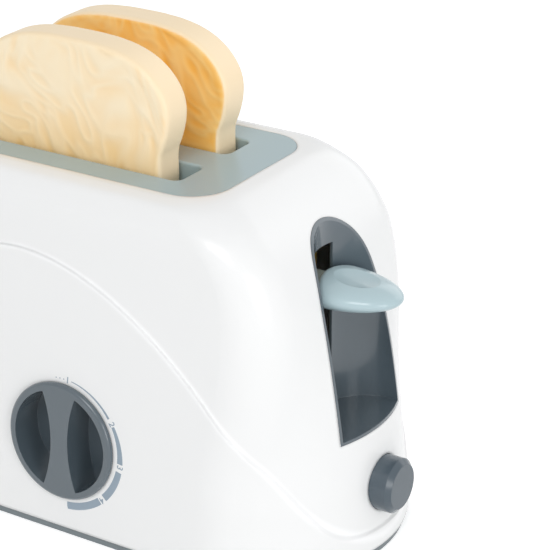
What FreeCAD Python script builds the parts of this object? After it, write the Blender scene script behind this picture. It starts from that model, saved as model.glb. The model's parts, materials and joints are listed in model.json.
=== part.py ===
import FreeCAD, Part
import math
import os
from FreeCAD import Vector

# Toy pop-up toaster, all sizes in millimetres.
# X runs along the body with the lever end at +X, the dial side faces -Y, +Z is up.
# The origin is the centre of the underside of the base plate.

os.makedirs("parts", exist_ok=True)

# Housing
half_length = 113.3            # centre to the end wall, at the housing's foot
half_depth = 50.6              # centre to the front wall, at the housing's foot
body_height = 125.0            # table to the flat top
plate_thickness = 3.0          # base plate, which the housing stands on
wall = 2.4                     # housing side and end walls
top_wall = 3.4                 # housing roof
end_lean = 0.0056              # lean of the end wall at its foot, mm per mm
end_curve_radius = 263.0       # the end wall seen from the side
side_lean = 0.047              # lean of the front and back walls, mm per mm
end_round_height = 28.5        # rounding from the end wall to the roof
end_round_length = 19.8
side_round_height = 13.0       # rounding from the front wall to the roof
side_round_depth = 9.5
foot_bow_radius = 52.0         # the end wall seen from above, at the foot
head_bow_radius = 2000.0       # the same at the roof, nearly flat
bow_low_height = 35.0          # the bow eases off between these heights
bow_high_height = 114.0
foot_corner_radius = 26.0
head_corner_radius = 16.0

# Raised apron under the arch
apron_raise = 0.8
arch_top_height = 100.5
arch_shoulder = (73.3, 88.2)   # points of the arch line: in from the end wall's foot, and Z
arch_flank = (41.3, 63.2)
arch_knee = (22.3, 41.0)
arch_foot = (10.3, 21.8)
arch_toe = (2.3, 10.8)
skirt_height = 9.6             # the line where it passes round the ends
skirt_overrun = 4.7            # how far the line is drawn past the end wall

# Top panel and slots
panel_end_margin = 49.5        # end wall's foot to the panel's end
panel_half_depth = 32.5
panel_corner_radius = 14.0
panel_thickness = 1.8
ledge_margin = 11.0            # width of the ledge under the panel ends
ledge_side_margin = 6.0
ledge_corner_radius = 6.0
slot_end_margin = 17.6         # panel's end to the slots' ends
slot_width = 15.2
slot_pitch = 28.4
slot_corner_radius = 3.0
slot_edge_radius = 0.8
chute_wall = 1.6
chute_depth = 28.0
fit_gap = 0.1                  # between pieces that drop into one another
cut_past = 1.0                 # how far a cut runs past the face that it opens

# Toast slices
slice_height = 88.2
slice_rest_height = 77.0       # underside of the slices at rest
slice_end_room = 7.4           # slot's end to the slice's widest place
slice_crown = (22.1, 1.0)      # points of the outline: in from the widest, and down from the top
slice_brow = (8.7, 6.0)
slice_shoulder = (0.8, 15.8)
slice_cheek = (0.0, 22.0)
slice_neck = (2.2, 31.5)
slice_waist = (3.4, 43.0)
slice_foot_inset = 4.4
slice_thickness = 12.5
slice_foot_radius = 7.0
crust_radius = 1.8
slice_front_shift = 2.6        # the slices stand a little off the middle
slice_rear_shift = 6.2

# Lever recess in the end wall
cup_radius = 19.0              # outside of the recess's lining
cup_axis_inset = 8.3           # end wall's foot to the recess's axis
cup_low = 44.5                 # underside of the lining's floor
cup_wall = 1.0
lever_slot_front = 9.4         # the slot's edges, from the middle
lever_slot_rear = 5.5
lever_slot_foot_room = 0.6     # under the lever's arm, all the way down
lever_slot_head_room = 9.4     # over the arm at rest

# Lever and carriage
lever_travel = 25.0
knob_gap = 1.0                 # knob to the recess's lining
knob_setback = 12.8            # recess's axis to the widest place of the knob's nose
knob_nose_length = 24.5
knob_half_width = 13.5
knob_half_height = 5.5
knob_above_arm = 4.7           # middle of the knob over the arm's underside
knob_back_round = 2.5
dish_ahead = 11.1              # thumb dish, ahead of the knob's widest place
dish_half_length = 9.0
dish_half_width = 8.0
dish_depth = 1.2
arm_front = 6.5                # the arm's sides, from the middle
arm_rear = 3.2
arm_above_slider = 3.2         # its underside over the slider's
arm_height = 7.9
arm_shoulder_gap = 0.6         # its wide part to the knob's back
tongue_ahead = 4.8             # its tongue's tip, ahead of the knob's widest place
arm_tenon_length = 3.5
slider_above_rest = 6.0        # slider's underside over the rack's
slider_height = 14.0
slider_length = 13.0
slider_half_width = 12.6
slider_corner = 1.0
flange_drop = 1.3              # flange's underside, below the slider's top
flange_height = 4.0
flange_half_width = 19.5
cup_running_gap = 8.0          # slider to the back of the recess cup
rod_radius = 1.8
rod_offset = 9.4               # guide rods, from the middle
rod_running_gap = 0.3
rod_socket_height = 5.0
rod_socket_wall = 2.5
rod_head_room = 7.0            # rod's top below the roof
rod_boss_height = 13.0
rod_chamfer = 0.3
spring_radius = 3.4
spring_bore = 2.3
rack_plate_thickness = 4.0
rack_bar_width = 9.0
rack_bar_height = 4.0
rack_tie_width = 4.0
rack_tie_inset = 3.2           # slot's end to the tie's inner side
rack_screw_offset = 5.0
rack_screw_grip = 6.0          # depth of their holes in the slider
tongue_thickness = 2.0
tongue_half_width = 5.0
tongue_length = 21.0
tongue_window_low = 3.0
tongue_window_height = 6.0

# Cancel button and latch
button_radius = 9.45
button_proud = 5.7             # beyond the end wall's foot
button_bevel = 1.7
button_z = 24.4
button_length = 18.5
guide_gap = 0.1
guide_wall = 2.2
guide_run_on = 1.6             # the guide goes on behind the button
stem_radius = 3.0
stem_ledge_radius = 4.5
clip_radius = 11.2
clip_thickness = 1.6
stop_gap = 0.3
latch_pin_radius = 1.5
latch_pin_setback = 5.0        # slider's front to the pin
latch_pin_z = 11.0
latch_half_width = 3.0
latch_hub_radius = 4.0
latch_arm_thickness = 4.0
latch_window_gap = 1.0         # nose to the window, above and below
latch_tail_length = 15.0
latch_tail_thickness = 3.0
latch_spring_setback = 12.5    # pin to the spring's axis
latch_spring_radius = 2.6
latch_spring_bore = 1.6
latch_lug_gap = 0.4
latch_lug_thickness = 2.4
latch_lug_length = 8.0
latch_lug_top = 14.5

# Dial on the front wall
dial_x = 16.8
dial_z = 35.5
dial_radius = 21.0
dial_gap = 0.4                 # between the dial's flange and the wall
dial_proud = 2.1               # face of the dial, in front of the wall
dial_edge_radius = 1.2
dial_pocket_radius = 18.3
dial_pocket_depth = 12.0
dial_cup_wall = 1.4
dial_cup_gap = 0.4
dial_back = 1.6
grip_waist = 3.45              # half width of the grip bar at its middle
grip_end = 6.6                 # half width where the bar meets the rim
hub_radius = 6.0
hub_length = 6.0
shaft_radius = 3.0
shaft_gap = 0.06
shaft_seat = 5.0               # how far the shaft goes into the hub
click_wheel_radius = 13.0
click_wheel_thickness = 3.0
click_teeth = 20
click_notch_radius = 1.4
bracket_gap = 1.2
bracket_thickness = 2.4
bracket_half_width = 16.0
bracket_top = 10.0             # above the dial's axis
bracket_foot_length = 10.0
bracket_corner_radius = 5.0
bracket_screw_offset = 10.0
shaft_clip_radius = 5.0
shaft_clip_thickness = 1.0
leaf_thickness = 0.6
leaf_gap = 0.25
leaf_foot = 4.0
leaf_length = 22.0

# Base plate and screws
base_inset = 1.2
lip_height = 5.0
lip_thickness = 1.8
lip_gap = 0.45
post_radius = 4.5
post_end_margin = 29.3         # screw posts, in from the walls' feet
post_side_margin = 20.6
screw_radius = 1.25
screw_thread_gap = 0.05
screw_length = 12.4
screw_tip_gap = 1.0            # screw's tip to the end of its hole
screw_head_radius = 3.4
screw_head_height = 1.4
small_head_radius = 2.7
screw_sink = 1.6               # depth of the head's recess
screw_recess_gap = 0.2
screw_clearance = 0.2          # round a shank that passes through
blind_floor = 1.0              # left under a screw hole in the base plate
cross_width = 0.8
cross_depth = 0.7
panel_screw_margin = 5.6       # in from the panel's end
panel_screw_y = 14.0
panel_screw_head_radius = 4.2
panel_boss_radius = 3.0
panel_boss_gap = 0.2
panel_screw_length = 4.0

# Worked out from the sizes above
panel_half_length = half_length - panel_end_margin
slot_half_length = panel_half_length - slot_end_margin
slot_y = slot_pitch / 2
slice_half_width = slot_half_length - slice_end_room
slice_foot_half_width = slice_half_width - slice_foot_inset
roof_under = body_height - top_wall
panel_under = body_height - panel_thickness
panel_screw_x = panel_half_length - panel_screw_margin
post_x = half_length - post_end_margin
post_y = half_depth - post_side_margin
cup_axis_x = half_length - cup_axis_inset
cup_back_x = cup_axis_x - cup_radius
slider_front = cup_back_x - cup_running_gap
slider_rear = slider_front - slider_length
slider_low = slice_rest_height + slider_above_rest
slider_top = slider_low + slider_height
flange_low = slider_top - flange_drop
flange_top = flange_low + flange_height
rack_rear = slider_rear - rack_plate_thickness
rack_tie_x = slot_half_length - rack_tie_inset
rod_x = slider_rear + slider_length / 2
rod_top = body_height - rod_head_room
arm_low = slider_low + arm_above_slider
knob_z = arm_low + knob_above_arm
knob_widest_x = cup_axis_x - knob_setback
dish_x = knob_widest_x + dish_ahead
knob_back_radius = cup_radius - cup_wall - knob_gap
arm_shoulder_x = cup_axis_x - knob_back_radius - arm_shoulder_gap
tongue_tip_x = knob_widest_x + tongue_ahead
lever_slot_low = arm_low - lever_travel - lever_slot_foot_room
lever_slot_high = arm_low + arm_height + lever_slot_head_room
socket_top = plate_thickness + rod_socket_height
button_front = half_length + button_proud
button_back = button_front - button_length
guide_end = button_back - guide_run_on
window_low = slider_low - tongue_length + tongue_window_low
latch_pin_x = slider_front - latch_pin_setback
latch_top = window_low + tongue_window_height - latch_window_gap - lever_travel
latch_nose_height = tongue_window_height - 2 * latch_window_gap
latch_spring_x = latch_pin_x - latch_spring_setback
stem_tip = latch_pin_x + latch_arm_thickness / 2 + stop_gap


def box(x_low, x_high, y_low, y_high, z_low, z_high):
    corner = Vector(x_low, y_low, z_low)
    return Part.makeBox(x_high - x_low, y_high - y_low, z_high - z_low, corner)


def upright(radius, x, y, z_low, z_high):
    return Part.makeCylinder(radius, z_high - z_low, Vector(x, y, z_low))


def along_x(radius, x_low, x_high, y, z):
    return Part.makeCylinder(radius, x_high - x_low, Vector(x_low, y, z), Vector(1, 0, 0))


def inward(radius, y_low, y_high, x=0, z=0):
    return Part.makeCylinder(radius, y_high - y_low, Vector(x, y_low, z), Vector(0, 1, 0))


def rounded_plate(half_x, half_y, radius, z_low, z_high, x=0, y=0):
    """A flat plate with round corners."""
    plate = box(x - half_x, x + half_x, y - half_y, y + half_y, z_low, z_high)
    corners = [edge for edge in plate.Edges if abs(edge.tangentAt(edge.FirstParameter).z) > 0.9]
    return plate.makeFillet(radius, corners)


def edges_at(shape, test):
    """Edges of a shape whose whole length passes a test on its points."""
    found = []
    for edge in shape.Edges:
        if all(test(point) for point in edge.discretize(5)):
            found.append(edge)
    return found


def roll_over(height, round_height):
    """How far a rounding has turned in, from 0 at its start to 1 at the roof."""
    turn = max(0.0, (height - body_height + round_height) / round_height)
    return 1.0 - math.sqrt(max(0.0, 1.0 - min(turn, 1.0) ** 2))


def wall_share(height, round_height):
    """Share of the wall's thickness that is measured level at this height."""
    return 1.0 - roll_over(height, round_height)


def front_wall_y(height, raise_out=0.0):
    """Y of the front wall's outer face below its rounding."""
    return side_lean * (height - plate_thickness) - half_depth - raise_out


def bow_ease(height):
    """From 0 at the foot's strong bow to 1 at the roof's flat one."""
    share = (height - bow_low_height) / (bow_high_height - bow_low_height)
    share = min(max(share, 0.0), 1.0)
    return share * share * (3 - 2 * share)


def outline(height, inset_end, inset_side, level):
    """The housing's outline at one height, drawn at the given level."""
    rise = height - plate_thickness
    end = half_length - end_lean * rise - rise * rise / (2 * end_curve_radius)
    end -= end_round_length * roll_over(height, end_round_height) + inset_end
    side = half_depth - side_lean * rise
    side -= side_round_depth * roll_over(height, side_round_height) + inset_side
    ease = bow_ease(height)
    bow_radius = 1.0 / ((1 - ease) / foot_bow_radius + ease / head_bow_radius)
    bow_radius = max(bow_radius - inset_end, side + fit_gap)
    corner = foot_corner_radius + (head_corner_radius - foot_corner_radius) * ease
    bow_x = end - bow_radius
    corner_x = bow_x + math.sqrt((bow_radius - corner) ** 2 - (side - corner) ** 2)
    corner_y = side - corner
    reach = bow_radius / (bow_radius - corner)
    meet_x = bow_x + (corner_x - bow_x) * reach
    meet_y = corner_y * reach
    turn = (math.pi / 2 + math.atan2(corner_y, corner_x - bow_x)) / 2
    mid_x = corner_x + corner * math.cos(turn)
    mid_y = corner_y + corner * math.sin(turn)

    def at(x, y):
        return Vector(x, y, level)

    edges = [
        Part.LineSegment(at(-corner_x, -side), at(corner_x, -side)),
        Part.Arc(at(corner_x, -side), at(mid_x, -mid_y), at(meet_x, -meet_y)),
        Part.Arc(at(meet_x, -meet_y), at(end, 0), at(meet_x, meet_y)),
        Part.Arc(at(meet_x, meet_y), at(mid_x, mid_y), at(corner_x, side)),
        Part.LineSegment(at(corner_x, side), at(-corner_x, side)),
        Part.Arc(at(-corner_x, side), at(-mid_x, mid_y), at(-meet_x, meet_y)),
        Part.Arc(at(-meet_x, meet_y), at(-end, 0), at(-meet_x, -meet_y)),
        Part.Arc(at(-meet_x, -meet_y), at(-mid_x, -mid_y), at(-corner_x, -side)),
    ]
    return Part.Wire([edge.toShape() for edge in edges])


def stations(start):
    """Heights of the outlines: even up the wall, then closing in round the top."""
    round_start = body_height - end_round_height
    wall_steps = 14
    round_steps = 7
    heights = [start + (round_start - start) * step / wall_steps for step in range(wall_steps)]
    for step in range(round_steps + 1):
        angle = math.pi / 2 * step / round_steps
        heights.append(round_start + end_round_height * math.sin(angle))
    return heights


def outer_body(raise_out=0.0):
    wires = [outline(height, -raise_out, -raise_out, height) for height in stations(plate_thickness)]
    return Part.makeLoft(wires, True, False, False, 3)


def cavity():
    """The space inside the housing, open at the foot."""
    wires = []
    for height in stations(plate_thickness - wall):
        end_share = wall_share(height, end_round_height)
        side_share = wall_share(height, side_round_height)
        sunk = top_wall * math.sqrt(1 - end_share ** 2) if end_share < 1 else 0.0
        wires.append(outline(height, wall * end_share, wall * side_share, height - sunk))
    return Part.makeLoft(wires, True, False, False, 3)


def under_arch():
    """Everything below the arch line, as one slab through the body."""
    skirt_reach = half_length + skirt_overrun
    marks = [arch_shoulder, arch_flank, arch_knee, arch_foot, arch_toe]
    right = [(half_length - inset, z) for inset, z in marks] + [(skirt_reach, skirt_height)]
    points = [Vector(-x, 0, z) for x, z in reversed(right)]
    points.append(Vector(0, 0, arch_top_height))
    points += [Vector(x, 0, z) for x, z in right]
    line = Part.BSplineCurve()
    line.interpolate(points)
    ends = [
        Part.makeLine(points[-1], Vector(skirt_reach, 0, 0)),
        Part.makeLine(Vector(skirt_reach, 0, 0), Vector(-skirt_reach, 0, 0)),
        Part.makeLine(Vector(-skirt_reach, 0, 0), points[0]),
    ]
    face = Part.Face(Part.Wire([line.toShape()] + ends))
    slab = face.extrude(Vector(0, 4 * half_depth, 0))
    slab.translate(Vector(0, -2 * half_depth, 0))
    return slab


def recess_space(grow):
    """The upright half-round recess that the lever moves in, grown or shrunk."""
    radius = cup_radius + grow
    low = cup_low - grow
    space = upright(radius, cup_axis_x, 0, low, body_height + wall)
    mouth = box(cup_axis_x, half_length + cup_radius, -radius, radius, low, body_height + wall)
    return space.fuse(mouth).removeSplitter()


def at_dial(shape):
    """Moves a piece drawn round the Y axis to the dial's place on the leaning wall."""
    placed = shape.copy()
    lean = math.degrees(math.atan(side_lean))
    placed.rotate(Vector(0, 0, 0), Vector(1, 0, 0), -lean)
    placed.translate(Vector(dial_x, front_wall_y(dial_z, apron_raise), dial_z))
    return placed


def corner_places(x, y):
    return [(x, y), (x, -y), (-x, y), (-x, -y)]


def joined(shapes):
    whole = shapes[0]
    for shape in shapes[1:]:
        whole = whole.fuse(shape)
    return whole.removeSplitter()


def make_body_shell(outer, inside):
    apron = outer_body(apron_raise).common(under_arch())
    solid = outer.fuse(apron)
    pocket = rounded_plate(panel_half_length, panel_half_depth, panel_corner_radius,
                           panel_under, body_height + wall)
    ledge_x = panel_half_length - ledge_margin
    ledge_y = panel_half_depth - ledge_side_margin
    ledge_hole = rounded_plate(ledge_x, ledge_y, ledge_corner_radius, roof_under - wall, body_height)
    posts = [upright(post_radius, x, y, plate_thickness, body_height)
             for x, y in corner_places(post_x, post_y)]
    posts += [upright(rod_radius + rod_socket_wall, rod_x, y, body_height - rod_boss_height, body_height)
              for y in (rod_offset, -rod_offset)]
    guide_radius = button_radius + guide_gap
    posts.append(along_x(guide_radius + guide_wall, guide_end, half_length, 0, button_z))
    shell = solid.cut(inside)
    shell = shell.fuse([post.common(outer) for post in posts])
    cuts = [pocket, ledge_hole, recess_space(fit_gap)]
    cuts.append(along_x(guide_radius, guide_end - wall, half_length + button_radius, 0, button_z))
    cuts.append(at_dial(inward(dial_pocket_radius + dial_cup_wall + dial_cup_gap, -wall, 2 * wall)))
    thread = screw_radius + screw_thread_gap
    cuts += [upright(thread, x, y, 0, plate_thickness + screw_length)
             for x, y in corner_places(post_x, post_y)]
    cuts += [upright(rod_radius + screw_thread_gap, rod_x, y, 0, rod_top + screw_thread_gap)
             for y in (rod_offset, -rod_offset)]
    cuts += [upright(panel_boss_radius + panel_boss_gap, x, y, roof_under - wall, body_height)
             for x, y in corner_places(panel_screw_x, panel_screw_y)]
    return shell.cut(cuts).removeSplitter()


def make_top_panel():
    plate = rounded_plate(panel_half_length - fit_gap, panel_half_depth - fit_gap,
                          panel_corner_radius, panel_under, body_height)
    pieces = [plate]
    for y in (-slot_y, slot_y):
        pieces.append(rounded_plate(slot_half_length + chute_wall, slot_width / 2 + chute_wall,
                                    slot_corner_radius + chute_wall,
                                    panel_under - chute_depth, body_height, 0, y))
    boss_low = roof_under + fit_gap
    pieces += [upright(panel_boss_radius, x, y, boss_low, panel_under)
               for x, y in corner_places(panel_screw_x, panel_screw_y)]
    panel = joined(pieces)
    for y in (-slot_y, slot_y):
        panel = panel.cut(rounded_plate(slot_half_length, slot_width / 2, slot_corner_radius,
                                        panel_under - chute_depth - cut_past,
                                        body_height + cut_past, 0, y))
    thread = screw_radius + screw_thread_gap
    screw_top = roof_under + panel_screw_length - top_wall / 4
    panel = panel.cut([upright(thread, x, y, roof_under, screw_top)
                       for x, y in corner_places(panel_screw_x, panel_screw_y)])

    def on_slot_rim(point):
        inside = abs(point.x) < slot_half_length + fit_gap
        between = abs(point.y) < slot_y + slot_width / 2 + fit_gap
        return inside and between and abs(point.z - body_height) < fit_gap

    return panel.makeFillet(slot_edge_radius, edges_at(panel, on_slot_rim))


def make_base_plate():
    foot = outline(plate_thickness, base_inset - apron_raise, base_inset - apron_raise, 0)
    plate = Part.Face(foot).extrude(Vector(0, 0, plate_thickness))
    lip_inset = wall + lip_gap
    lip_outer = outline(plate_thickness, lip_inset, lip_inset, plate_thickness)
    lip_inner = outline(plate_thickness, lip_inset + lip_thickness, lip_inset + lip_thickness,
                        plate_thickness)
    rise = Vector(0, 0, lip_height)
    lip = Part.Face(lip_outer).extrude(rise).cut(Part.Face(lip_inner).extrude(rise))
    pieces = [plate, lip]
    pieces += [upright(rod_radius + rod_socket_wall, rod_x, y, plate_thickness, socket_top)
               for y in (rod_offset, -rod_offset)]
    lug_inner = latch_half_width + latch_lug_gap
    for side in (-1, 1):
        near = side * lug_inner
        far = side * (lug_inner + latch_lug_thickness)
        pieces.append(box(latch_pin_x - latch_lug_length / 2, latch_pin_x + latch_lug_length / 2,
                          min(near, far), max(near, far), plate_thickness, latch_lug_top))
    base = joined(pieces)
    cuts = [upright(rod_radius + screw_thread_gap, rod_x, y, plate_thickness / 2, socket_top + cut_past)
            for y in (rod_offset, -rod_offset)]
    cuts.append(inward(latch_pin_radius, -half_depth / 2, half_depth / 2, latch_pin_x, latch_pin_z))
    for x, y in corner_places(post_x, post_y):
        cuts.append(upright(screw_radius + screw_clearance, x, y, 0, plate_thickness))
        cuts.append(upright(screw_head_radius + screw_recess_gap, x, y, 0, screw_sink))
    for x in bracket_screw_places():
        cuts.append(upright(screw_radius + screw_thread_gap, x, bracket_screw_y(), blind_floor,
                            plate_thickness))
    return base.cut(cuts)


def screw_down(x, y, head_low, head_height, head_radius, tip):
    """A screw with its cross-cut head underneath and its tip at the given height."""
    head = upright(head_radius, x, y, head_low, head_low + head_height)
    shank = upright(screw_radius, x, y, head_low + head_height, tip)
    cross = [box(x - head_radius / 2, x + head_radius / 2, y - cross_width / 2, y + cross_width / 2,
                 head_low, head_low + cross_depth),
             box(x - cross_width / 2, x + cross_width / 2, y - head_radius / 2, y + head_radius / 2,
                 head_low, head_low + cross_depth)]
    return head.fuse(shank).cut(cross)


def make_base_screws():
    low = screw_sink - screw_head_height
    tip = plate_thickness + screw_length - screw_tip_gap
    return Part.Compound([screw_down(x, y, low, screw_head_height, screw_head_radius, tip)
                          for x, y in corner_places(post_x, post_y)])


def make_panel_screws():
    low = roof_under - screw_head_height
    tip = roof_under + panel_screw_length - top_wall / 2
    return Part.Compound([screw_down(x, y, low, screw_head_height, panel_screw_head_radius, tip)
                          for x, y in corner_places(panel_screw_x, panel_screw_y)])


def make_lever_cup(outer):
    cup = recess_space(0).cut(recess_space(-cup_wall)).common(outer)
    slot = box(cup_back_x - cup_wall, cup_axis_x - cup_radius / 2,
               -lever_slot_front, lever_slot_rear, lever_slot_low, lever_slot_high)
    return cup.cut(slot)


def lever_arm_block():
    """A wide bar out of the slider with a narrower tongue into the knob."""
    top = arm_low + arm_height
    bar = box(slider_front - arm_tenon_length, arm_shoulder_x, -arm_front, arm_rear, arm_low, top)
    tongue = box(arm_shoulder_x, tongue_tip_x, -arm_rear, arm_rear, arm_low, top)
    return joined([bar, tongue])


def stretched_ball(half_x, half_y, half_z, centre):
    matrix = FreeCAD.Matrix()
    matrix.scale(Vector(half_x, half_y, half_z))
    ball = Part.makeSphere(1, Vector(0, 0, 0), Vector(0, 1, 0)).transformGeometry(matrix)
    ball.translate(centre)
    return ball


def make_lever_knob():
    """An egg-shaped nose whose blunt back follows the recess, with a thumb dish on top."""
    nose = stretched_ball(knob_nose_length, knob_half_width, knob_half_height,
                          Vector(knob_widest_x, 0, knob_z))
    low = knob_z - 2 * knob_half_height
    knob = nose.common(upright(knob_back_radius, cup_axis_x, 0, low, low + 4 * knob_half_height))
    knob = knob.makeFillet(knob_back_round, [edge for edge in knob.Edges if edge.Length > knob_back_round])
    bowl_radius = (dish_half_length ** 2 + dish_depth ** 2) / (2 * dish_depth)
    bowl_width = bowl_radius * dish_half_width / dish_half_length
    drop = (dish_x - knob_widest_x) / knob_nose_length
    top = knob_z + knob_half_height * math.sqrt(1 - drop ** 2)
    dish = stretched_ball(bowl_radius, bowl_width, bowl_radius,
                          Vector(dish_x, 0, top + bowl_radius - dish_depth))
    return knob.cut(dish).cut(lever_arm_block())


def make_lever_arm():
    arm = lever_arm_block()
    length_edges = [edge for edge in arm.Edges
                    if abs(edge.tangentAt(edge.FirstParameter).x) > 0.9]
    return arm.makeFillet(slider_corner, length_edges)


def make_carriage_slider():
    body = box(slider_rear, slider_front, -slider_half_width, slider_half_width,
               slider_low, slider_top)
    flange = box(slider_rear, slider_front, -flange_half_width, flange_half_width,
                 flange_low, flange_top)
    slider = joined([body, flange])
    upright_edges = [edge for edge in slider.Edges
                     if abs(edge.tangentAt(edge.FirstParameter).z) > 0.9]
    slider = slider.makeFillet(slider_corner, upright_edges)
    tongue = box(slider_front - tongue_thickness, slider_front, -tongue_half_width,
                 tongue_half_width, slider_low - tongue_length, slider_low)
    slider = slider.fuse(tongue)
    window_half = latch_half_width + latch_lug_gap
    cuts = [box(slider_front - 2 * tongue_thickness, slider_front + cut_past, -window_half, window_half,
                window_low, window_low + tongue_window_height)]
    cuts += [upright(rod_radius + rod_running_gap, rod_x, y, slider_low - cut_past, flange_top + cut_past)
             for y in (rod_offset, -rod_offset)]
    cuts.append(lever_arm_block())
    cuts += [along_x(screw_radius + screw_thread_gap, slider_rear - cut_past,
                     slider_rear + rack_screw_grip, y, slider_low + slider_height / 2)
             for y in rack_screw_places()]
    return slider.cut(cuts).removeSplitter()


def rack_screw_places():
    return (-rack_screw_offset, rack_screw_offset)


def make_toast_rack():
    bar_low = slice_rest_height - rack_bar_height
    plate = box(rack_rear, slider_rear, -slot_y - rack_bar_width / 2, slot_y + rack_bar_width / 2,
                bar_low, slider_top)
    pieces = [plate]
    for y in (-slot_y, slot_y):
        pieces.append(box(-rack_tie_x, rack_rear, y - rack_bar_width / 2, y + rack_bar_width / 2,
                          bar_low, slice_rest_height))
    pieces.append(box(-rack_tie_x - rack_tie_width, -rack_tie_x, -slot_y - rack_bar_width / 2,
                      slot_y + rack_bar_width / 2, bar_low, slice_rest_height))
    rack = joined(pieces)
    return rack.cut([along_x(screw_radius + screw_thread_gap, rack_rear - cut_past,
                             slider_rear + cut_past, y, slider_low + slider_height / 2)
                     for y in rack_screw_places()])


def make_rack_screws():
    z = slider_low + slider_height / 2
    screws = []
    for y in rack_screw_places():
        head = along_x(small_head_radius, rack_rear - screw_head_height, rack_rear, y, z)
        shank = along_x(screw_radius, rack_rear, slider_rear + rack_screw_grip - screw_tip_gap, y, z)
        screws.append(head.fuse(shank))
    return Part.Compound(screws)


def make_guide_rod(y):
    rod = upright(rod_radius, rod_x, y, plate_thickness / 2, rod_top)
    rims = [edge for edge in rod.Edges if edge.Closed and edge.Length > rod_radius]
    return rod.makeChamfer(rod_chamfer, rims)


def make_lift_spring(y):
    """Hidden return spring round its rod, between its socket and the slider."""
    outer = upright(spring_radius, rod_x, y, socket_top, slider_low)
    return outer.cut(upright(spring_bore, rod_x, y, socket_top - cut_past, slider_low + cut_past))


def slice_outline(x_shift, y):
    """A bread slice's outline: crown, shoulders, waist and foot."""
    top = slice_rest_height + slice_height
    marks = [slice_crown, slice_brow, slice_shoulder, slice_cheek, slice_neck, slice_waist]
    half = [(slice_half_width - inset, top - drop) for inset, drop in marks]
    crown = [Vector(x_shift - x, y, z) for x, z in reversed(half)]
    crown.append(Vector(x_shift, y, top))
    crown += [Vector(x_shift + x, y, z) for x, z in half]
    curve = Part.BSplineCurve()
    curve.interpolate(Points=crown, InitialTangent=Vector(0.05, 0, 1), FinalTangent=Vector(0.05, 0, -1))
    foot_z = slice_rest_height + slice_foot_radius
    flat_x = slice_foot_half_width - slice_foot_radius
    bend = slice_foot_radius * (1 - math.sqrt(0.5))
    right_side = Part.makeLine(crown[-1], Vector(x_shift + slice_foot_half_width, y, foot_z))
    right_corner = Part.Arc(Vector(x_shift + slice_foot_half_width, y, foot_z),
                            Vector(x_shift + slice_foot_half_width - bend, y, slice_rest_height + bend),
                            Vector(x_shift + flat_x, y, slice_rest_height)).toShape()
    bottom = Part.makeLine(Vector(x_shift + flat_x, y, slice_rest_height),
                           Vector(x_shift - flat_x, y, slice_rest_height))
    left_corner = Part.Arc(Vector(x_shift - flat_x, y, slice_rest_height),
                           Vector(x_shift - slice_foot_half_width + bend, y, slice_rest_height + bend),
                           Vector(x_shift - slice_foot_half_width, y, foot_z)).toShape()
    left_side = Part.makeLine(Vector(x_shift - slice_foot_half_width, y, foot_z), crown[0])
    return Part.Wire([curve.toShape(), right_side, right_corner, bottom, left_corner, left_side])


def make_toast_slice(x_shift, y):
    rear = y - slice_thickness / 2
    body = Part.Face(slice_outline(x_shift, rear)).extrude(Vector(0, slice_thickness, 0))

    def on_a_face(point):
        return abs(abs(point.y - y) - slice_thickness / 2) < fit_gap

    return body.makeFillet(crust_radius, edges_at(body, on_a_face))


def make_cancel_button():
    cap = along_x(button_radius, button_back, button_front, 0, button_z)
    front_rim = edges_at(cap, lambda point: point.x > button_front - fit_gap)
    cap = cap.makeChamfer(button_bevel, front_rim)
    hollow = along_x(button_radius - guide_wall, button_back - cut_past, button_front - 2 * guide_wall,
                     0, button_z)
    stem = along_x(stem_radius, stem_tip + stem_radius, button_front - guide_wall, 0, button_z)
    tip = Part.makeSphere(stem_radius, Vector(stem_tip + stem_radius, 0, button_z))
    clip_ledge = along_x(stem_ledge_radius, guide_end - stop_gap, button_front - guide_wall, 0, button_z)
    return joined([cap.cut(hollow), stem, tip, clip_ledge])


def make_button_clip():
    front = guide_end - stop_gap
    ring = along_x(clip_radius, front - clip_thickness, front, 0, button_z)
    return ring.cut(along_x(stem_radius, front - clip_thickness - cut_past, front + cut_past, 0, button_z))


def make_latch_hook():
    half = latch_arm_thickness / 2
    arm = box(latch_pin_x - half, latch_pin_x + half, -latch_half_width, latch_half_width,
              latch_pin_z, latch_top)
    hub = inward(latch_hub_radius, -latch_half_width, latch_half_width, latch_pin_x, latch_pin_z)
    nose_reach = slider_front - tongue_thickness - stop_gap
    nose = box(latch_pin_x, nose_reach, -latch_half_width, latch_half_width,
               latch_top - latch_nose_height, latch_top)
    tail = box(latch_pin_x - latch_tail_length, latch_pin_x, -latch_half_width, latch_half_width,
               latch_pin_z - latch_tail_thickness / 2, latch_pin_z + latch_tail_thickness / 2)
    hook = joined([arm, hub, nose, tail])
    return hook.cut(inward(latch_pin_radius + shaft_gap, -half_depth, half_depth, latch_pin_x, latch_pin_z))


def make_latch_pin():
    reach = latch_half_width + latch_lug_gap + latch_lug_thickness
    return inward(latch_pin_radius, -reach, reach, latch_pin_x, latch_pin_z)


def make_latch_spring():
    top = latch_pin_z - latch_tail_thickness / 2
    outer = upright(latch_spring_radius, latch_spring_x, 0, plate_thickness, top)
    return outer.cut(upright(latch_spring_bore, latch_spring_x, 0, plate_thickness - cut_past,
                             top + cut_past))


def dial_cup_back():
    """Distance from the wall's face in to the back of the dial's cup."""
    return dial_pocket_depth - dial_proud + dial_back


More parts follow.
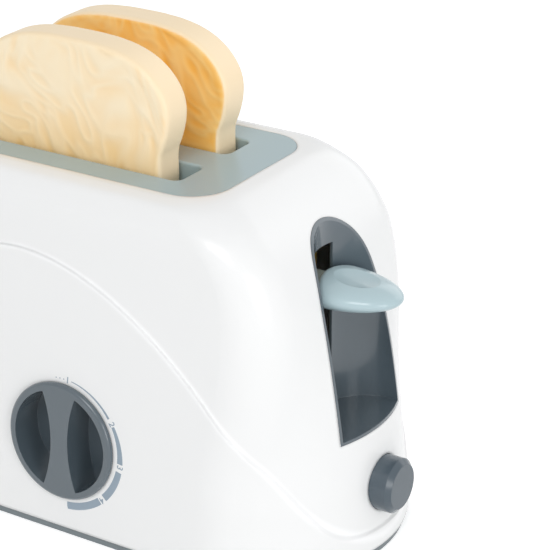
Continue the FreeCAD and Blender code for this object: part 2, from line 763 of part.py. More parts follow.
def make_dial_knob():
    flange = inward(dial_radius, -dial_proud, -dial_gap)
    front_rim = edges_at(flange, lambda point: point.y < -dial_proud + fit_gap)
    flange = flange.makeFillet(dial_edge_radius, front_rim)
    cup = inward(dial_pocket_radius + dial_cup_wall, -dial_gap - dial_edge_radius / 2, dial_cup_back())
    hub = inward(hub_radius, dial_cup_back(), dial_cup_back() + hub_length)
    knob = joined([flange, cup, hub])
    reach = math.sqrt(dial_pocket_radius ** 2 - grip_end ** 2)
    spread = grip_end - grip_waist
    grip_radius = (reach ** 2 + spread ** 2) / (2 * spread)
    floor = dial_pocket_depth - dial_proud
    for side in (-1, 1):
        round_space = inward(dial_pocket_radius, -dial_proud - cut_past, floor)
        beside_grip = inward(grip_radius, -dial_proud - cut_past, floor, side * (grip_radius + grip_waist))
        knob = knob.cut(round_space.common(beside_grip))
    return knob.cut(inward(shaft_radius, shaft_start(), click_wheel_start() + cut_past))


def click_wheel_start():
    return dial_cup_back() + hub_length


def shaft_start():
    return click_wheel_start() - shaft_seat


def bracket_start():
    return click_wheel_start() + click_wheel_thickness + bracket_gap


def make_dial_shaft():
    end = bracket_start() + bracket_thickness + bracket_gap + 2 * shaft_clip_thickness
    return inward(shaft_radius, shaft_start(), end)


def make_click_wheel():
    start = click_wheel_start()
    end = start + click_wheel_thickness
    wheel = inward(click_wheel_radius, start, end)
    cuts = [inward(shaft_radius, start - cut_past, end + cut_past)]
    for tooth in range(click_teeth):
        angle = 2 * math.pi * tooth / click_teeth
        x = click_wheel_radius * math.cos(angle)
        z = click_wheel_radius * math.sin(angle)
        cuts.append(inward(click_notch_radius, start - cut_past, end + cut_past, x, z))
    return wheel.cut(cuts)


def make_shaft_clip():
    start = bracket_start() + bracket_thickness + stop_gap
    clip = inward(shaft_clip_radius, start, start + shaft_clip_thickness)
    return clip.cut(inward(shaft_radius, start - cut_past, start + shaft_clip_thickness + cut_past))


def bracket_screw_places():
    return (dial_x - bracket_screw_offset, dial_x + bracket_screw_offset)


def bracket_foot_y():
    """Where the bracket's upright meets the base plate, on its inner face."""
    lean = math.atan(side_lean)
    depth = bracket_start() + bracket_thickness
    drop = dial_z - plate_thickness
    return front_wall_y(dial_z, apron_raise) + depth / math.cos(lean) - drop * math.tan(lean)


def bracket_screw_y():
    return bracket_foot_y() + bracket_foot_length / 2


def make_dial_bracket():
    start = bracket_start()
    plate = box(-bracket_half_width, bracket_half_width, start, start + bracket_thickness,
                -dial_z - bracket_thickness, bracket_top)
    top_edges = edges_at(plate, lambda point: point.z > bracket_top - fit_gap)
    corners = [edge for edge in top_edges if abs(edge.tangentAt(edge.FirstParameter).y) > 0.9]
    plate = plate.makeFillet(bracket_corner_radius, corners)
    bore = inward(shaft_radius + shaft_gap, start - cut_past, start + bracket_thickness + cut_past)
    plate = at_dial(plate.cut(bore))
    foot = box(dial_x - bracket_half_width, dial_x + bracket_half_width,
               bracket_foot_y() - bracket_thickness, bracket_foot_y() + bracket_foot_length,
               plate_thickness, plate_thickness + bracket_thickness)
    below = box(-half_length, half_length, -half_depth, half_depth, -half_depth, plate_thickness)
    bracket = plate.fuse(foot).cut(below)
    return bracket.cut([upright(screw_radius + screw_clearance, x, bracket_screw_y(), 0,
                                plate_thickness + 2 * bracket_thickness)
                        for x in bracket_screw_places()]).removeSplitter()


def make_bracket_screws():
    seat = plate_thickness + bracket_thickness
    screws = []
    for x in bracket_screw_places():
        shank = upright(screw_radius, x, bracket_screw_y(), blind_floor + screw_thread_gap, seat)
        head = upright(small_head_radius, x, bracket_screw_y(), seat, seat + screw_head_height)
        screws.append(head.fuse(shank))
    return Part.Compound(screws)


def make_click_spring():
    """A leaf on a block, whose tip rides on the wheel's teeth."""
    start = click_wheel_start()
    leaf_x = click_wheel_radius + leaf_gap
    low = -leaf_length + leaf_foot
    strip = box(leaf_x, leaf_x + leaf_thickness, start, start + click_wheel_thickness, low, leaf_foot)
    block = box(leaf_x - leaf_foot / 2, leaf_x + leaf_foot / 2, start, bracket_start(),
                low - leaf_foot, low)
    return at_dial(strip.fuse(block))


def build_all():
    outer = outer_body()
    inside = cavity()
    return {
        "body_shell": make_body_shell(outer, inside),
        "top_panel": make_top_panel(),
        "base_plate": make_base_plate(),
        "lever_cup": make_lever_cup(outer),
        "base_screws": make_base_screws(),
        "panel_screws": make_panel_screws(),
        "guide_rod_front": make_guide_rod(-rod_offset),
        "guide_rod_rear": make_guide_rod(rod_offset),
        "lift_spring_front": make_lift_spring(-rod_offset),
        "lift_spring_rear": make_lift_spring(rod_offset),
        "carriage_slider": make_carriage_slider(),
        "toast_rack": make_toast_rack(),
        "rack_screws": make_rack_screws(),
        "lever_arm": make_lever_arm(),
        "lever_knob": make_lever_knob(),
        "toast_slice_front": make_toast_slice(slice_front_shift, -slot_y),
        "toast_slice_rear": make_toast_slice(slice_rear_shift, slot_y),
        "cancel_button": make_cancel_button(),
        "button_clip": make_button_clip(),
        "latch_hook": make_latch_hook(),
        "latch_pin": make_latch_pin(),
        "latch_spring": make_latch_spring(),
        "dial_knob": at_dial(make_dial_knob()),
        "dial_shaft": at_dial(make_dial_shaft()),
        "click_wheel": at_dial(make_click_wheel()),
        "shaft_clip": at_dial(make_shaft_clip()),
        "dial_bracket": make_dial_bracket(),
        "bracket_screws": make_bracket_screws(),
        "click_spring": make_click_spring(),
    }


for name, shape in build_all().items():
    shape.exportStep("parts/" + name + ".step")
    sound = "sound" if shape.isValid() else "NOT SOUND"
    print(name, len(shape.Solids), "solids", round(shape.Volume), "mm3", sound)
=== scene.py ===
import json
import math

import bpy
from mathutils import Euler, Matrix, Vector, noise


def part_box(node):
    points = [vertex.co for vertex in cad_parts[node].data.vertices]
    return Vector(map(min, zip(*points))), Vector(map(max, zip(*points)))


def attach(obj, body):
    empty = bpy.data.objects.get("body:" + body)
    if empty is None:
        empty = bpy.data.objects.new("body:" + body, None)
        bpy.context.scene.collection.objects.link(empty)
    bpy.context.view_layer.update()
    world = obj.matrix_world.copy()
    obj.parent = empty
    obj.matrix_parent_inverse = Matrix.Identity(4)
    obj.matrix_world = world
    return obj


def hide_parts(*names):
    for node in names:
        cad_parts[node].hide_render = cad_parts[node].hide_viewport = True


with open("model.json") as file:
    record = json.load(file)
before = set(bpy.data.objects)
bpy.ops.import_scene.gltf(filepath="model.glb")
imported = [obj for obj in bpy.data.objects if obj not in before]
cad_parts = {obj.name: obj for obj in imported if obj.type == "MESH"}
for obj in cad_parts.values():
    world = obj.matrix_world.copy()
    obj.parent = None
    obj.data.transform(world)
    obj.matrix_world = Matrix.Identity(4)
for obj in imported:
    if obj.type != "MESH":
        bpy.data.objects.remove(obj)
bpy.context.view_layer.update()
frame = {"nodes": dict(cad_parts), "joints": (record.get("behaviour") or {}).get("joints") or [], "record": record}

MM = 0.001

# Dial scale printed on the front wall, in millimetres and degrees
DIAL_AXIS = next(joint for joint in frame["joints"] if joint["name"] == "dial_turn")
DIAL_CENTRE = Vector(DIAL_AXIS["pos_m"])
WALL_LEAN = math.atan2(DIAL_AXIS["axis"][2], -DIAL_AXIS["axis"][1])
PRINT_THICKNESS = 0.06
BAND_INNER = 22.5
BANDS = (                       # name, start and end angle, start and end width
    ("scale_band_thin", 80.0, 34.0, 0.3, 0.85),
    ("scale_band_low", 26.5, -6.0, 1.2, 2.2),
    ("scale_band_middle", -13.5, -44.5, 2.3, 2.6),
    ("scale_band_high", -50.5, -86.0, 2.6, 2.7),
)
BAND_STEP = 1.5
BAND_ROWS = 4
LAST_BAND_ANGLE = -80           # a band that runs past this has a rounded end
ROUND_END_SHARE = 0.97
ROUND_END_TURN = 0.35
NUMBERS = (("1", 84.0, 22.5), ("2", 29.0, 23.1), ("3", -9.0, 23.7), ("4", -48.0, 24.0))
NUMBER_SIZE = 3.3
NUMBER_BOLDNESS = 0.00004
DOT_ANGLES = (88.0, 92.0, 96.0)
DOT_RADIUS = 0.22
DOT_SIDES = 20

# Arch line of the housing, its height along the body, in millimetres; a highlight is painted into the colour along
# it
ARCH_LINE = ((0.0, 100.5), (24.0, 95.8), (48.0, 83.2), (64.0, 70.7), (80.0, 54.9),
             (92.0, 39.5), (100.0, 26.6), (103.0, 21.8), (111.0, 10.8))
ARCH_REACH = 115.0
# Painted highlight along the arch line: its half width, how far its colour goes towards white, and how it widens
CREASE_HIGHLIGHT_HALF_WIDTH = 1.5
CREASE_HIGHLIGHT_STRENGTH = 0.85
WIDENED_AT = 0.6                # share of the reach from which the widening is full
WIDENING = 1.8                  # the line is measured by height, so it widens where it is steep

# Surface finishes, lengths in millimetres
EDGE_SAMPLES = 6
CLOUD_SCALE = 22.0
SMEAR_SCALE = 60.0
GRAIN_SCALE = 1400.0
GRAIN_HEIGHT = 0.05
COAT_ROUGHNESS = 0.12
LATHE_LINE_SCALE = 2500.0
LATHE_LINE_STRETCH = (1.0, 1.0, 0.05)
STEEL_CHANGE = 0.12
STEEL_EDGE = 0.15
# Slot, material name, colour, roughness, colour change, grain, edge radius and coat
PLASTICS = (
    ("panel_blue_grey", "blue_grey_panel", (0.385, 0.495, 0.525), 0.24, 0.015, 0.1, 0.4, 0.0),
    ("base_grey", "grey_base", (0.195, 0.225, 0.24), 0.42, 0.03, 0.12, 0.3, 0.0),
    ("slate", "slate_gloss", (0.084, 0.11, 0.13), 0.26, 0.03, 0.02, 0.35, 0.7),
    ("button_slate", "button_slate", (0.075, 0.1, 0.122), 0.22, 0.03, 0.02, 0.35, 0.0),
    ("carriage_ochre", "ochre_carriage", (0.68, 0.44, 0.08), 0.4, 0.04, 0.1, 0.3, 0.0),
    ("arm_grey_green", "grey_green_arm", (0.42, 0.48, 0.44), 0.36, 0.02, 0.06, 0.3, 0.0),
    ("lever_blue_grey", "blue_grey_lever", (0.46, 0.59, 0.625), 0.17, 0.015, 0.03, 0.4, 0.0),
    ("inner_plastic", "pale_inner_plastic", (0.62, 0.62, 0.6), 0.45, 0.03, 0.15, 0.2, 0.0),
    ("print", "scale_print", (0.30, 0.37, 0.44), 0.5, 0.03, 0.05, 0.05, 0.0),
)
HOUSING_FINISH = ("white_housing", (0.9, 0.9, 0.895), 0.25, 0.006, 0.03, 1.7, 0.0)

# Play bread, lengths in millimetres
CRUST = (0.99, 0.8, 0.54, 1)
PALE_CRUMB = (1.0, 0.85, 0.61, 1)
PALE_BROWNED = (1.0, 0.66, 0.28, 1)
GOLDEN_CRUMB = (0.99, 0.8, 0.4, 1)
GOLDEN_BROWNED = (0.99, 0.5, 0.06, 1)
BREAD_VOXEL = 0.6
RELIEF_DEPTH = 0.4
RELIEF_RIM = 2.6                # the waves fade out this far from the crust
RELIEF_FACING = (0.55, 0.4)     # least facing to front or back, and the blend above it
CRUMB_FACING = (0.78, 0.16)
CRUMB_SMEAR_SCALE = 45.0
CRUMB_GRAIN_SCALE = 500.0
BROWN_HEIGHT = 116              # the browned band's middle, and how far it reaches
BROWN_REACH = 30
VALLEY_POWER = 1.5              # how fast the browning falls off out of a valley
PALE_SIDE = (0.0, 0.45, 0.8)    # browning all over, in the valleys and in the band
TOASTED_SIDE = (0.4, 0.6, 0.15)
BACK_SEED = 40
SLICES = (                      # name, node, body, slot, seed, front and back browning
    ("bread_front", "toast_slice_front", "toast_front", "toast_pale", 2.0,
     PALE_SIDE, TOASTED_SIDE),
    ("bread_rear", "toast_slice_rear", "toast_rear", "toast_golden", 21.0,
     TOASTED_SIDE, PALE_SIDE),
)

# Waves on a slice's faces, sizes in millimetres across and along them
WAVE_LEAN = (0.84, 0.54)
DRIFT_SIZE = (19, 23)
DRIFT_ACROSS = 11
SWAY_SIZE = (13, 15)
SWAY_SHIFT = 7
SWAY_ACROSS = 2.5
SWAY_ALONG = 7
BROAD_SIZE = (5.2, 12)
RIDGE_SIZE = (4.2, 9)
RIDGE_SHARPNESS = 2.6
WAVE_LEVEL = 0.34
BROAD_SHARE = 0.5
CREST_SHARE = 0.42

# Outline of a slice, as shares of its height and lengths in millimetres
WAIST_INSET = 3.6
WAIST_HEIGHT = 0.42
WAIST_SPREAD = 0.2
FOOT_TAPER = 4.4
FOOT_HEIGHT = 0.45
CROWN_START = 0.62
CROWN_CURVE = 2.4

# Stage and lamps, in metres and watts
FLOOR_SIZE = 8.0
FLOOR_GLOW = 0.45
WORLD_COLOUR = (0.97, 0.985, 1.0, 1)
WORLD_STRENGTH = 0.585
LAMP_AIM = (0.0, 0.0, 0.06)
SOFTBOXES = (                   # place, size, power
    ("key_softbox", (0.5, -1.25, 1.3), (0.8, 0.7), 8.3),
    ("back_softbox", (0.3, 1.5, 0.8), (1.4, 1.0), 4.5),
    ("right_softbox", (1.55, -0.8, 0.45), (0.6, 0.8), 6.8),
)

# Photograph's camera, in millimetres
CAMERA_PLACE = (423.23, -563.43, 384.01)
CAMERA_RIGHT = (0.84670272, 0.53206626, 0.0)
CAMERA_UP = (-0.21543335, 0.34282949, 0.9143612)
CAMERA_LENS = 144.49
SENSOR_WIDTH = 36.0


def clamp(value):
    return min(max(value, 0.0), 1.0)


def pick_only(piece):
    bpy.ops.object.select_all(action="DESELECT")
    piece.select_set(True)
    bpy.context.view_layer.objects.active = piece


def settle(piece):
    """Puts the piece's place into its mesh, so its object stands at the origin."""
    pick_only(piece)
    bpy.ops.object.transform_apply(location=True, rotation=True, scale=True)


def apply_modifier(piece, kind, **settings):
    pick_only(piece)
    modifier = piece.modifiers.new(kind, kind)
    for name, value in settings.items():
        setattr(modifier, name, value)
    bpy.ops.object.modifier_apply(modifier=modifier.name)


# Materials

def new_material(name):
    material = bpy.data.materials.new(name)
    material.use_nodes = True
    nodes = material.node_tree.nodes
    links = material.node_tree.links
    shader = nodes["Principled BSDF"]
    return material, nodes, links, shader


def object_noise(nodes, links, scale, detail=2.0, roughness=0.5):
    place = nodes.new("ShaderNodeTexCoord")
    texture = nodes.new("ShaderNodeTexNoise")
    texture.inputs["Scale"].default_value = scale
    texture.inputs["Detail"].default_value = detail
    texture.inputs["Roughness"].default_value = roughness
    links.new(place.outputs["Object"], texture.inputs["Vector"])
    return texture.outputs["Fac"]


def span(nodes, links, source, low, high):
    """Turns a noise value, mostly 0.3 to 0.7, into the range low to high."""
    node = nodes.new("ShaderNodeMapRange")
    node.inputs["From Min"].default_value = 0.3
    node.inputs["From Max"].default_value = 0.7
    node.inputs["To Min"].default_value = low
    node.inputs["To Max"].default_value = high
    links.new(source, node.inputs["Value"])
    return node.outputs["Result"]


def calculate(nodes, links, operation, first, second=None):
    """Does sums on a value; the second is a number or another value."""
    node = nodes.new("ShaderNodeMath")
    node.operation = operation
    links.new(first, node.inputs[0])
    if isinstance(second, float):
        node.inputs[1].default_value = second
    elif second is not None:
        links.new(second, node.inputs[1])
    return node.outputs["Value"]


def mix_colours(nodes, links, first, second, share):
    """Mixes two colours, each written out or taken from another node."""
    mix = nodes.new("ShaderNodeMix")
    mix.data_type = "RGBA"
    for name, colour in (("A", first), ("B", second)):
        if isinstance(colour, bpy.types.NodeSocket):
            links.new(colour, mix.inputs[name])
        else:
            mix.inputs[name].default_value = colour
    links.new(share, mix.inputs["Factor"])
    return mix.outputs["Result"]


def fine_bump(nodes, links, shader, height, strength, distance, normal=None):
    bump = nodes.new("ShaderNodeBump")
    bump.inputs["Strength"].default_value = strength
    bump.inputs["Distance"].default_value = distance * MM
    links.new(height, bump.inputs["Height"])
    if normal is not None:
        links.new(normal, bump.inputs["Normal"])
    links.new(bump.outputs["Normal"], shader.inputs["Normal"])


def soft_edges(nodes, links, shader, radius, height, strength, distance):
    """Rounds the light on the edges a little and adds the surface's fine bump."""
    edge = nodes.new("ShaderNodeBevel")
    edge.samples = EDGE_SAMPLES
    edge.inputs["Radius"].default_value = radius * MM
    fine_bump(nodes, links, shader, height, strength, distance, edge.outputs["Normal"])


def shade_pair(colour, change):
    lighter = [min(part * (1 + change), 1.0) for part in colour]
    darker = [part * (1 - change) for part in colour]
    return lighter + [1.0], darker + [1.0]


def moulded_plastic(name, colour, roughness, change, grain, edge, coat):
    material, nodes, links, shader = new_material(name)
    lighter, darker = shade_pair(colour, change)
    cloud = object_noise(nodes, links, CLOUD_SCALE, 3.0)
    links.new(mix_colours(nodes, links, darker, lighter, cloud), shader.inputs["Base Color"])
    smear = object_noise(nodes, links, SMEAR_SCALE, 4.0, 0.6)
    links.new(span(nodes, links, smear, roughness * 0.96, roughness * 1.04),
              shader.inputs["Roughness"])
    shader.inputs["Coat Weight"].default_value = coat
    shader.inputs["Coat Roughness"].default_value = COAT_ROUGHNESS
    texture = object_noise(nodes, links, GRAIN_SCALE)
    soft_edges(nodes, links, shader, edge, texture, grain, GRAIN_HEIGHT)
    return material


def arch_height(nodes, links, along):
    """Height of the arch line, at a share of its reach along the body."""
    line = nodes.new("ShaderNodeFloatCurve")
    points = line.mapping.curves[0].points
    for x, z in ARCH_LINE[1:-1]:
        points.new(x / ARCH_REACH, z / ARCH_REACH)
    for end in (0, -1):
        x, z = ARCH_LINE[end]
        points[end].location = (x / ARCH_REACH, z / ARCH_REACH)
    line.mapping.update()
    links.new(along, line.inputs["Value"])
    return line.outputs["Value"]


def paint_crease_highlight(material):
    """Paints a highlight into the housing's colour along the arch line, mixing it towards white where a soft
    crease would catch the light.
    """
    nodes = material.node_tree.nodes
    links = material.node_tree.links
    place = nodes.new("ShaderNodeTexCoord")
    parts = nodes.new("ShaderNodeSeparateXYZ")
    links.new(place.outputs["Object"], parts.inputs["Vector"])
    along = calculate(nodes, links, "ABSOLUTE", parts.outputs["X"])
    along = calculate(nodes, links, "DIVIDE", along, ARCH_REACH * MM)
    height = calculate(nodes, links, "DIVIDE", parts.outputs["Z"], ARCH_REACH * MM)
    gap = calculate(nodes, links, "SUBTRACT", height, arch_height(nodes, links, along))
    gap = calculate(nodes, links, "ABSOLUTE", gap)
    reach = nodes.new("ShaderNodeMapRange")
    reach.inputs["From Max"].default_value = WIDENED_AT
    reach.inputs["To Min"].default_value = CREASE_HIGHLIGHT_HALF_WIDTH / ARCH_REACH
    reach.inputs["To Max"].default_value = WIDENING * CREASE_HIGHLIGHT_HALF_WIDTH / ARCH_REACH
    links.new(along, reach.inputs["Value"])
    share = calculate(nodes, links, "DIVIDE", gap, reach.outputs["Result"])
    soft = nodes.new("ShaderNodeMapRange")
    soft.interpolation_type = "SMOOTHSTEP"
    soft.inputs["To Min"].default_value = CREASE_HIGHLIGHT_STRENGTH
    soft.inputs["To Max"].default_value = 0.0
    links.new(share, soft.inputs["Value"])
    colour = nodes["Principled BSDF"].inputs["Base Color"]
    # painted highlight: the housing's colour is mixed towards white along the arch line
    painted_highlight = mix_colours(nodes, links, colour.links[0].from_socket, (1.0, 1.0, 1.0, 1.0),
                         soft.outputs["Result"])
    links.new(painted_highlight, colour)
    return material


def turned_steel(name, colour, roughness):
    material, nodes, links, shader = new_material(name)
    shader.inputs["Metallic"].default_value = 1.0
    lighter, darker = shade_pair(colour, STEEL_CHANGE)
    place = nodes.new("ShaderNodeTexCoord")
    stretch = nodes.new("ShaderNodeMapping")
    stretch.inputs["Scale"].default_value = LATHE_LINE_STRETCH
    texture = nodes.new("ShaderNodeTexNoise")
    texture.inputs["Scale"].default_value = LATHE_LINE_SCALE
    links.new(place.outputs["Object"], stretch.inputs["Vector"])
    links.new(stretch.outputs["Vector"], texture.inputs["Vector"])
    lines = texture.outputs["Fac"]
    links.new(mix_colours(nodes, links, darker, lighter, lines), shader.inputs["Base Color"])
    links.new(span(nodes, links, lines, roughness * 0.8, roughness * 1.3),
              shader.inputs["Roughness"])
    soft_edges(nodes, links, shader, STEEL_EDGE, lines, 0.1, 0.03)
    return material


def piece_value(nodes, name):
    value = nodes.new("ShaderNodeAttribute")
    value.attribute_name = name
    return value.outputs["Fac"]


def baked_bread(name, pale, browned):
    """Crust and crumb; the piece's own toasted value says where it is browned."""
    material, nodes, links, shader = new_material(name)
    face = mix_colours(nodes, links, pale, browned, piece_value(nodes, "toasted"))
    whole = mix_colours(nodes, links, CRUST, face, piece_value(nodes, "crumb"))
    links.new(whole, shader.inputs["Base Color"])
    smear = object_noise(nodes, links, CRUMB_SMEAR_SCALE, 4.0)
    links.new(span(nodes, links, smear, 0.36, 0.5), shader.inputs["Roughness"])
    texture = object_noise(nodes, links, CRUMB_GRAIN_SCALE, 3.0)
    fine_bump(nodes, links, shader, texture, 0.12, 0.08)
    return material


def make_materials():
    finishes = {
        # the housing's colour carries a painted highlight along the arch line
        "housing_white": paint_crease_highlight(moulded_plastic(*HOUSING_FINISH)),
        "steel": turned_steel("turned_steel", (0.56, 0.57, 0.58), 0.28),
        "spring_steel": turned_steel("spring_steel", (0.46, 0.46, 0.47), 0.35),
        "toast_pale": baked_bread("pale_bread", PALE_CRUMB, PALE_BROWNED),
        "toast_golden": baked_bread("golden_bread", GOLDEN_CRUMB, GOLDEN_BROWNED),
    }
    for slot_name, *finish in PLASTICS:
        finishes[slot_name] = moulded_plastic(*finish)
    return finishes


def dress(piece, material):
    piece.data.materials.clear()
    piece.data.materials.append(material)


def dress_nodes(materials):
    for part in frame["record"]["subparts"]:
        dress(frame["nodes"][part["node"]], materials[part["material_slot"]])
    dress(frame["nodes"]["cancel_button"], materials["button_slate"])


# Play bread slices

def rim_distance(x, z, low, high):
    """Roughly how far a point on a slice's face is from the crust, in millimetres."""
    middle = (low.x + high.x) / 2 / MM
    half = (high.x - low.x) / 2 / MM
    foot = low.z / MM
    top = high.z / MM
    height = (z - foot) / (top - foot)
    dip = WAIST_INSET * math.exp(-((height - WAIST_HEIGHT) / WAIST_SPREAD) ** 2)
    width = half - dip - FOOT_TAPER * max(0.0, FOOT_HEIGHT - height)
    if height > CROWN_START:
        rise = (height - CROWN_START) / (1 - CROWN_START)
        width = half * math.sqrt(max(0.0, 1 - rise ** CROWN_CURVE))
    return min(width - abs(x - middle), z - foot, top - z)


def patches(x, z, size, seed, shift=0):
    """Smooth noise in patches of about this size."""
    return noise.noise(Vector((x / size[0] + shift, z / size[1], seed)))


def waves(x, z, seed):
    """Short wandering waves, 0 in a valley and 1 on a ridge."""
    drift = patches(x, z, DRIFT_SIZE, seed)
    sway = patches(x, z, SWAY_SIZE, seed + 3, SWAY_SHIFT)
    across = x * WAVE_LEAN[0] + z * WAVE_LEAN[1] + drift * DRIFT_ACROSS + sway * SWAY_ACROSS
    along = z * WAVE_LEAN[0] - x * WAVE_LEAN[1] + sway * SWAY_ALONG
    broad = patches(across, along, BROAD_SIZE, seed + 5)
    ridge = patches(across, along, RIDGE_SIZE, seed + 9)
    crest = 1 - min(1.0, abs(ridge) * RIDGE_SHARPNESS)
    return clamp(WAVE_LEVEL + BROAD_SHARE * broad + CREST_SHARE * crest)


def copy_slice(name, node):
    """An even, finely divided copy of a slice's solid."""
    bread = bpy.data.objects.new(name, frame["nodes"][node].data.copy())
    bpy.context.scene.collection.objects.link(bread)
    pick_only(bread)
    bpy.ops.object.mode_set(mode="EDIT")
    bpy.ops.mesh.select_all(action="SELECT")
    bpy.ops.mesh.remove_doubles(threshold=0.00001)
    bpy.ops.object.mode_set(mode="OBJECT")
    apply_modifier(bread, "REMESH", mode="VOXEL", voxel_size=BREAD_VOXEL * MM)
    apply_modifier(bread, "SMOOTH", factor=0.5, iterations=2)
    return bread


def add_value(mesh, name, values):
    mesh.attributes.new(name, "FLOAT", "POINT").data.foreach_set("value", values)


def press_waves(mesh, node, seed, front_brown, back_brown):
    """Presses the waves into both faces, and notes where they are browned."""
    low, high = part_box(node)
    middle_y = (low.y + high.y) / 2
    places, toasted, crumb = [], [], []
    facings = [(vertex.co.copy(), abs(vertex.normal.y)) for vertex in mesh.vertices]
    for place, facing in facings:
        x, z = place.x / MM, place.z / MM
        front = place.y < middle_y
        fade = clamp(rim_distance(x, z, low, high) / RELIEF_RIM)
        fade = fade * fade * (3 - 2 * fade)
        on_face = clamp((facing - RELIEF_FACING[0]) / RELIEF_FACING[1])
        level = waves(x, z, seed + (0 if front else BACK_SEED))
        sink = RELIEF_DEPTH * (1 - level) * fade * on_face * MM
        places += [place.x, place.y + (sink if front else -sink), place.z]
        all_over, valleys, band = front_brown if front else back_brown
        in_band = max(0.0, 1 - abs(z - BROWN_HEIGHT) / BROWN_REACH)
        amount = all_over + valleys * (1 - level) ** VALLEY_POWER + band * in_band
        toasted.append(clamp(amount))
        crumb.append(clamp((facing - CRUMB_FACING[0]) / CRUMB_FACING[1]))
    mesh.vertices.foreach_set("co", places)
    add_value(mesh, "toasted", toasted)
    add_value(mesh, "crumb", crumb)
    mesh.update()


def make_bread(name, node, body, material, seed, front_brown, back_brown):
    bread = copy_slice(name, node)
    press_waves(bread.data, node, seed, front_brown, back_brown)
    for face in bread.data.polygons:
        face.use_smooth = True
    dress(bread, material)
    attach(bread, body)
    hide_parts(node)


# Dial scale

def on_wall(angle, radius):
    """A place on the front wall round the dial."""
    turned = Euler((-WALL_LEAN, 0, 0)).to_matrix()
    heading = math.radians(angle)
    local = Vector((radius * math.cos(heading), 0, radius * math.sin(heading)))
    return DIAL_CENTRE + turned @ (local * MM)


def finish_print(piece, material):
    pick_only(piece)
    bpy.ops.object.mode_set(mode="EDIT")
    bpy.ops.mesh.select_all(action="SELECT")
    bpy.ops.mesh.normals_make_consistent(inside=False)
    bpy.ops.object.mode_set(mode="OBJECT")
    dress(piece, material)
    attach(piece, "housing")


def make_band(name, start, end, start_width, end_width, material):
    steps = max(6, int(abs(end - start) / BAND_STEP))
    bpy.ops.object.select_all(action="DESELECT")
    bpy.ops.mesh.primitive_grid_add(x_subdivisions=steps, y_subdivisions=BAND_ROWS, size=2)
    band = bpy.context.object
    band.name = name
    for vertex in band.data.vertices:
        share = (vertex.co.x + 1) / 2
        across = (vertex.co.y + 1) / 2
        width = start_width + (end_width - start_width) * share
        round_end = 0.0
        if end < LAST_BAND_ANGLE and share > ROUND_END_SHARE:
            round_end = ROUND_END_TURN * abs(across - 0.5) * 2
        angle = start + (end - start) * share + round_end
        vertex.co = on_wall(angle, BAND_INNER + width * across)
    apply_modifier(band, "SOLIDIFY", thickness=PRINT_THICKNESS * MM, offset=0.0)
    finish_print(band, material)


def make_number(digit, angle, radius, material):
    bpy.ops.object.select_all(action="DESELECT")
    bpy.ops.object.text_add()
    number = bpy.context.object
    number.name = "scale_number_" + digit
    number.data.body = digit
    number.data.align_x = "CENTER"
    number.data.align_y = "CENTER"
    number.data.size = NUMBER_SIZE * MM
    number.data.extrude = PRINT_THICKNESS * MM / 2
    number.data.offset = NUMBER_BOLDNESS
    pick_only(number)
    bpy.ops.object.convert(target="MESH")
    number = bpy.context.object
    upright = Euler((math.pi / 2, 0, 0)).to_matrix()
    turned = Euler((0, math.radians(90 - angle), 0)).to_matrix()
    lean = Euler((-WALL_LEAN, 0, 0)).to_matrix()
    heading = (lean @ turned @ upright).to_4x4()
    number.matrix_world = Matrix.Translation(on_wall(angle, radius)) @ heading
    settle(number)
    finish_print(number, material)


def make_dot(index, angle, material):
    bpy.ops.object.select_all(action="DESELECT")
    bpy.ops.mesh.primitive_cylinder_add(vertices=DOT_SIDES, radius=DOT_RADIUS * MM,
                                        depth=PRINT_THICKNESS * MM)
    dot = bpy.context.object
    dot.name = "scale_dot_" + str(index)
    lean = Euler((math.pi / 2 - WALL_LEAN, 0, 0)).to_matrix().to_4x4()
    dot.matrix_world = Matrix.Translation(on_wall(angle, BAND_INNER)) @ lean
    settle(dot)
    finish_print(dot, material)


def make_dial_scale(material):
    for name, start, end, start_width, end_width in BANDS:
        make_band(name, start, end, start_width, end_width, material)
    for digit, angle, radius in NUMBERS:
        make_number(digit, angle, radius, material)
    for index, angle in enumerate(DOT_ANGLES):
        make_dot(index, angle, material)


# Stage, light and camera

def seen_directly(nodes, links):
    """1 for rays from the camera, a mirror or a clear piece, and 0 for the light's own."""
    path = nodes.new("ShaderNodeLightPath").outputs
    seen = calculate(nodes, links, "MAXIMUM", path["Is Camera Ray"], path["Is Glossy Ray"])
    return calculate(nodes, links, "MAXIMUM", seen, path["Is Transmission Ray"])


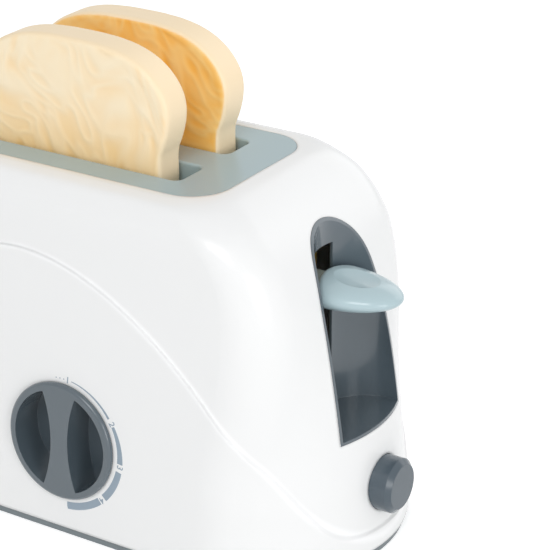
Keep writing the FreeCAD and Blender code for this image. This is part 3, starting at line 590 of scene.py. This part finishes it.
def make_floor():
    bpy.ops.object.select_all(action="DESELECT")
    bpy.ops.mesh.primitive_plane_add(size=FLOOR_SIZE)
    floor = bpy.context.object
    floor.name = "floor"
    material, nodes, links, shader = new_material("pale_floor")
    shader.inputs["Base Color"].default_value = (0.88, 0.88, 0.88, 1)
    shader.inputs["Roughness"].default_value = 0.85
    shader.inputs["Specular IOR Level"].default_value = 0.1
    glow = nodes.new("ShaderNodeEmission")
    glow.inputs["Color"].default_value = (1, 1, 1, 1)
    glow.inputs["Strength"].default_value = FLOOR_GLOW
    nothing = nodes.new("ShaderNodeEmission")
    nothing.inputs["Strength"].default_value = 0.0
    clear = nodes.new("ShaderNodeMixShader")
    links.new(seen_directly(nodes, links), clear.inputs["Fac"])
    links.new(nothing.outputs["Emission"], clear.inputs[1])
    links.new(glow.outputs["Emission"], clear.inputs[2])
    both = nodes.new("ShaderNodeAddShader")
    links.new(shader.outputs["BSDF"], both.inputs[0])
    links.new(clear.outputs["Shader"], both.inputs[1])
    links.new(both.outputs["Shader"], nodes["Material Output"].inputs["Surface"])
    dress(floor, material)


def make_world():
    world = bpy.data.worlds.new("studio")
    bpy.context.scene.world = world
    world.use_nodes = True
    nodes = world.node_tree.nodes
    links = world.node_tree.links
    background = nodes["Background"]
    background.inputs["Color"].default_value = WORLD_COLOUR
    strength = nodes.new("ShaderNodeMapRange")
    strength.inputs["To Min"].default_value = WORLD_STRENGTH
    strength.inputs["To Max"].default_value = 1.0
    links.new(seen_directly(nodes, links), strength.inputs["Value"])
    links.new(strength.outputs["Result"], background.inputs["Strength"])


def add_softbox(name, place, size, power):
    bpy.ops.object.select_all(action="DESELECT")
    bpy.ops.object.light_add(type="AREA", location=place)
    lamp = bpy.context.object
    lamp.name = name
    lamp.data.shape = "RECTANGLE"
    lamp.data.size = size[0]
    lamp.data.size_y = size[1]
    lamp.data.energy = power
    towards = Vector(LAMP_AIM) - Vector(place)
    lamp.rotation_euler = towards.to_track_quat("-Z", "Y").to_euler()


def make_camera():
    data = bpy.data.cameras.new("photo_camera")
    camera = bpy.data.objects.new("photo_camera", data)
    bpy.context.scene.collection.objects.link(camera)
    right = Vector(CAMERA_RIGHT)
    up = Vector(CAMERA_UP)
    back = right.cross(up)
    turn = Matrix((right, up, back)).transposed()
    camera.matrix_world = Matrix.Translation(Vector(CAMERA_PLACE) * MM) @ turn.to_4x4()
    data.sensor_width = SENSOR_WIDTH
    data.lens = CAMERA_LENS
    data.clip_start = 0.05
    data.clip_end = 20.0
    bpy.context.scene.camera = camera


materials = make_materials()
dress_nodes(materials)
for name, node, body, slot_name, seed, front_brown, back_brown in SLICES:
    make_bread(name, node, body, materials[slot_name], seed, front_brown, back_brown)
make_dial_scale(materials["print"])
make_floor()
make_world()
for softbox in SOFTBOXES:
    add_softbox(*softbox)
make_camera()
bpy.context.scene.view_settings.view_transform = "Standard"
